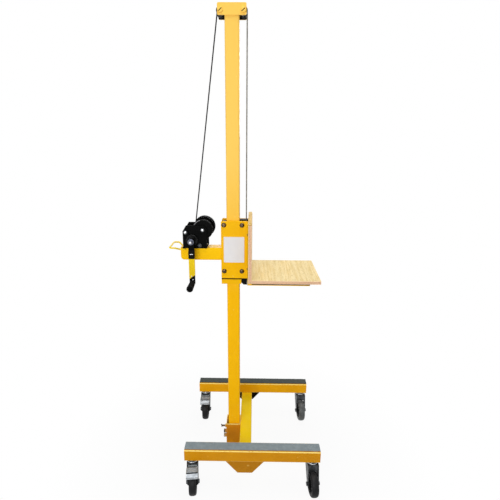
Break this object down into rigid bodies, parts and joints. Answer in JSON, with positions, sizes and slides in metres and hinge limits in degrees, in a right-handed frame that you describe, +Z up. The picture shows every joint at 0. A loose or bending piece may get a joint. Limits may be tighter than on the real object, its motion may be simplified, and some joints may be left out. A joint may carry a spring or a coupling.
{
  "type": "cabinet lift",
  "caption": "Wheeled cabinet lift: castor base, fixed square mast, and a roller carriage with a plywood shelf, raised by a hand winch and wire rope over head sheaves.",
  "frame": {"origin": "floor level under the middle of the bounding box", "axes": "+Z up, +X from the mast towards the shelf, +Y away from the side with the crank"},
  "size_m": [0.6108, 0.5494, 1.83],
  "materials": {
    "yellow_paint": "gloss",
    "zinc_steel": "zinc plated",
    "black_paint": "gloss",
    "dark_bolt": "oiled",
    "wire_rope": "stranded",
    "plywood": "bare",
    "tyre_rubber": "matt",
    "grip_strip": "gritty",
    "black_grip": "matt",
    "nylon": "matt"
  },
  "bodies": {
    "base": {"front_leg": "yellow_paint", "rear_leg": "yellow_paint", "grip_strips": "grip_strip", "cross_tube": "yellow_paint", "front_gusset": "yellow_paint", "rear_gusset": "yellow_paint", "mast_socket": "yellow_paint", "mast_tube": "yellow_paint", "front_cap_plate": "yellow_paint", "rear_cap_plate": "yellow_paint", "sheave_axles": "dark_bolt", "castor_stems": "zinc_steel", "socket_bolts": "dark_bolt", "rope_over_top": "wire_rope", "left_rope_run": "wire_rope", "right_rope_run": "wire_rope"},
    "carriage": {"carriage_front_plate": "yellow_paint", "carriage_rear_plate": "yellow_paint", "carriage_back_plate": "yellow_paint", "lower_guide_band": "yellow_paint", "guide_pads": "nylon", "roller_bolts": "dark_bolt", "rope_anchor": "zinc_steel", "rope_eye": "wire_rope", "winch_arm": "yellow_paint", "pull_handle": "yellow_paint", "front_shelf_arm": "yellow_paint", "rear_shelf_arm": "yellow_paint", "back_board": "plywood", "shelf_board": "plywood", "board_screws": "zinc_steel", "winch_frame": "black_paint", "gear_cover": "black_paint", "winch_frame_bolts": "zinc_steel", "winch_mount_bolts": "zinc_steel"},
    "drum": {"winch_drum": "black_paint", "drum_gear": "zinc_steel", "drum_rope": "wire_rope"},
    "crank": {"pinion_shaft": "zinc_steel", "brake_discs": "black_paint", "crank_arm": "black_paint"},
    "left_sheave": {"left_sheave": "nylon"},
    "right_sheave": {"right_sheave": "nylon"},
    "clamp_screw": {"clamp_screw": "dark_bolt"},
    "upper_left_roller": {"upper_left_roller": "nylon"},
    "upper_right_roller": {"upper_right_roller": "nylon"},
    "lower_left_roller": {"lower_left_roller": "nylon"},
    "lower_right_roller": {"lower_right_roller": "nylon"},
    "crank_grip": {"crank_grip": "black_grip"},
    "pawl": {"pawl": "black_paint"},
    "front_left_fork": {"front_left_fork": "zinc_steel"},
    "front_left_wheel": {"front_left_wheel": "tyre_rubber"},
    "front_left_brake_pedal": {"front_left_brake_pedal": "zinc_steel"},
    "front_right_fork": {"front_right_fork": "zinc_steel"},
    "front_right_wheel": {"front_right_wheel": "tyre_rubber"},
    "rear_left_fork": {"rear_left_fork": "zinc_steel"},
    "rear_left_wheel": {"rear_left_wheel": "tyre_rubber"},
    "rear_left_brake_pedal": {"rear_left_brake_pedal": "zinc_steel"},
    "rear_right_fork": {"rear_right_fork": "zinc_steel"},
    "rear_right_wheel": {"rear_right_wheel": "tyre_rubber"}
  },
  "joints": [
    {"name": "carriage_slide", "type": "slide", "parent": "base", "child": "carriage", "axis": [0, 0, 1], "range_m": [-0.62, 0.58], "deforming": ["left_rope_run", "right_rope_run"]},
    {"name": "drum_spin", "type": "hinge", "parent": "carriage", "child": "drum", "pos_m": [-0.17167, 0.02928, 1.0485], "axis": [0, 1, 0], "continuous": true},
    {"name": "crank_spin", "type": "hinge", "parent": "carriage", "child": "crank", "pos_m": [-0.21253, 0.02928, 1.00959], "axis": [0, 1, 0], "continuous": true},
    {"name": "left_sheave_spin", "type": "hinge", "parent": "base", "child": "left_sheave", "pos_m": [-0.09297, 0.02928, 1.8076], "axis": [0, 1, 0], "continuous": true},
    {"name": "right_sheave_spin", "type": "hinge", "parent": "base", "child": "right_sheave", "pos_m": [-0.01337, 0.02928, 1.8076], "axis": [0, 1, 0], "continuous": true},
    {"name": "upper_left_roller_spin", "type": "hinge", "parent": "carriage", "child": "upper_left_roller", "pos_m": [-0.08847, 0.02928, 1.068], "axis": [0, 1, 0], "continuous": true},
    {"name": "upper_right_roller_spin", "type": "hinge", "parent": "carriage", "child": "upper_right_roller", "pos_m": [-0.01787, 0.02928, 1.068], "axis": [0, 1, 0], "continuous": true},
    {"name": "lower_left_roller_spin", "type": "hinge", "parent": "carriage", "child": "lower_left_roller", "pos_m": [-0.08847, 0.02928, 0.879], "axis": [0, 1, 0], "continuous": true},
    {"name": "lower_right_roller_spin", "type": "hinge", "parent": "carriage", "child": "lower_right_roller", "pos_m": [-0.01787, 0.02928, 0.879], "axis": [0, 1, 0], "continuous": true},
    {"name": "crank_grip_spin", "type": "hinge", "parent": "crank", "child": "crank_grip", "pos_m": [-0.21253, -0.04032, 0.84089], "axis": [0, 1, 0], "continuous": true},
    {"name": "pawl_lift", "type": "hinge", "parent": "carriage", "child": "pawl", "pos_m": [-0.23717, -0.01102, 1.041], "axis": [0, 1, 0], "range_deg": [-25, 0]},
    {"name": "clamp_screw_turn", "type": "hinge", "parent": "base", "child": "clamp_screw", "pos_m": [-0.08807, 0.02928, 0.109], "axis": [1, 0, 0], "continuous": true},
    {"name": "front_left_swivel", "type": "hinge", "parent": "base", "child": "front_left_fork", "pos_m": [-0.21217, -0.19072, 0.1397], "axis": [0, 0, 1], "continuous": true},
    {"name": "front_left_roll", "type": "hinge", "parent": "front_left_fork", "child": "front_left_wheel", "pos_m": [-0.20882, -0.22255, 0.0508], "axis": [0.9945, 0.1045, 0], "continuous": true},
    {"name": "front_left_brake", "type": "hinge", "parent": "front_left_fork", "child": "front_left_brake_pedal", "pos_m": [-0.20987, -0.2126, 0.12], "axis": [0.9945, 0.1045, 0], "range_deg": [0, 12]},
    {"name": "front_right_swivel", "type": "hinge", "parent": "base", "child": "front_right_fork", "pos_m": [0.27433, -0.19072, 0.1397], "axis": [0, 0, 1], "continuous": true},
    {"name": "front_right_roll", "type": "hinge", "parent": "front_right_fork", "child": "front_right_wheel", "pos_m": [0.27768, -0.22255, 0.0508], "axis": [0.9945, 0.1045, 0], "continuous": true},
    {"name": "rear_left_swivel", "type": "hinge", "parent": "base", "child": "rear_left_fork", "pos_m": [-0.21217, 0.24928, 0.1397], "axis": [0, 0, 1], "continuous": true},
    {"name": "rear_left_roll", "type": "hinge", "parent": "rear_left_fork", "child": "rear_left_wheel", "pos_m": [-0.21105, 0.2173, 0.0508], "axis": [0.9994, 0.0349, 0], "continuous": true},
    {"name": "rear_left_brake", "type": "hinge", "parent": "rear_left_fork", "child": "rear_left_brake_pedal", "pos_m": [-0.2114, 0.22729, 0.12], "axis": [0.9994, 0.0349, 0], "range_deg": [0, 12]},
    {"name": "rear_right_swivel", "type": "hinge", "parent": "base", "child": "rear_right_fork", "pos_m": [0.27433, 0.24928, 0.1397], "axis": [0, 0, 1], "continuous": true},
    {"name": "rear_right_roll", "type": "hinge", "parent": "rear_right_fork", "child": "rear_right_wheel", "pos_m": [0.27712, 0.2174, 0.0508], "axis": [0.9962, 0.0872, 0], "continuous": true}
  ],
  "couplings": [
    {"joint": "drum_spin", "follows": "carriage_slide", "rad_per_m": -66.667},
    {"joint": "crank_spin", "follows": "carriage_slide", "rad_per_m": 136.67},
    {"joint": "left_sheave_spin", "follows": "carriage_slide", "rad_per_m": -83.333},
    {"joint": "right_sheave_spin", "follows": "carriage_slide", "rad_per_m": -83.333},
    {"joint": "upper_left_roller_spin", "follows": "carriage_slide", "rad_per_m": 104.17},
    {"joint": "upper_right_roller_spin", "follows": "carriage_slide", "rad_per_m": -104.17},
    {"joint": "lower_left_roller_spin", "follows": "carriage_slide", "rad_per_m": 104.17},
    {"joint": "lower_right_roller_spin", "follows": "carriage_slide", "rad_per_m": -104.17}
  ]
}
